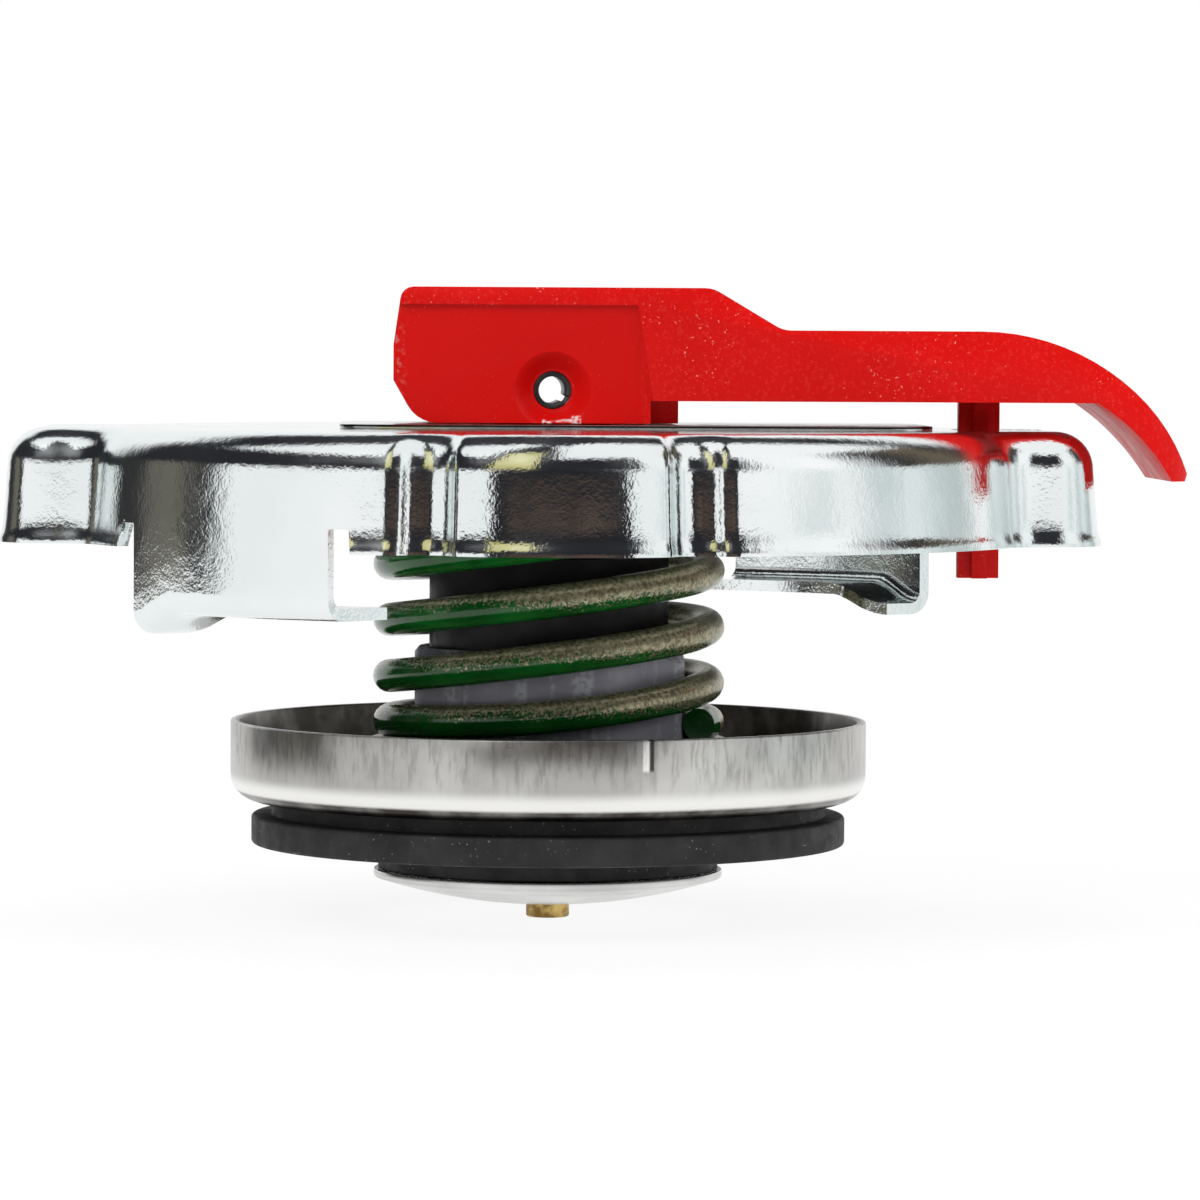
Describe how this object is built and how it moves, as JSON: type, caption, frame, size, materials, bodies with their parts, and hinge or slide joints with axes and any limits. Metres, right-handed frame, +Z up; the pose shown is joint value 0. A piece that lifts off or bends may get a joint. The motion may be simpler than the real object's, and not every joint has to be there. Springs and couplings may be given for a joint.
{
  "type": "radiator cap",
  "caption": "Pressure cap for a radiator neck: pressed shell with locking tabs, a hinged vent lever, a coil spring, a sprung pressure valve cup with gasket, and a vacuum valve below it.",
  "frame": {"origin": "on the cap's axis, in the plane of the neck rim that the upper seal closes on", "axes": "+Z up out of the neck, +X along the lever towards its handle, -Y to the side with the pin's open end that the picture shows"},
  "size_m": [0.0813, 0.0688, 0.0436],
  "materials": {
    "shell_plating": "bright plated",
    "plate_steel": "bright",
    "lever_red": "satin",
    "pin_steel": "dark",
    "stem_black": "matte",
    "seal_rubber": "matte",
    "spring_green": "worn gloss paint",
    "collar_grey": "matte",
    "cup_steel": "brushed",
    "stem_brass": "dull"
  },
  "bodies": {
    "shell_group": {"shell": "shell_plating", "wear_plate": "plate_steel", "neck_seal": "seal_rubber", "spring_seat": "plate_steel", "main_spring": "spring_green"},
    "stem_group": {"lift_stem": "stem_black"},
    "lever_group": {"lever": "lever_red", "pivot_pin": "pin_steel"},
    "pressure_group": {"collar": "collar_grey", "pressure_cup": "cup_steel", "pressure_gasket": "seal_rubber", "gasket_eyelet": "plate_steel", "vacuum_spring": "plate_steel"},
    "vacuum_group": {"vacuum_plate": "plate_steel", "vacuum_stem": "stem_brass", "spring_washer": "plate_steel"}
  },
  "joints": [
    {"name": "stem_lift", "type": "slide", "parent": "shell_group", "child": "stem_group", "axis": [0, 0, 1], "range_m": [0, 0.00599], "deforming": ["main_spring"]},
    {"name": "lever_pivot", "type": "hinge", "parent": "stem_group", "child": "lever_group", "pos_m": [0, 0, 0.00525], "axis": [0, -1, 0], "range_deg": [0, 45.8]},
    {"name": "pressure_lift", "type": "slide", "parent": "stem_group", "child": "pressure_group", "axis": [0, 0, 1], "range_m": [0, 0.003], "stiffness_N_per_m": 8000, "springref_m": -0.004, "deforming": ["main_spring"]},
    {"name": "vacuum_drop", "type": "slide", "parent": "pressure_group", "child": "vacuum_group", "axis": [0, 0, -1], "range_m": [0, 0.0015], "stiffness_N_per_m": 300, "springref_m": -0.001, "deforming": ["vacuum_spring"]}
  ],
  "couplings": [
    {"joint": "lever_pivot", "follows": "stem_lift", "rad_per_m": 133.33}
  ]
}
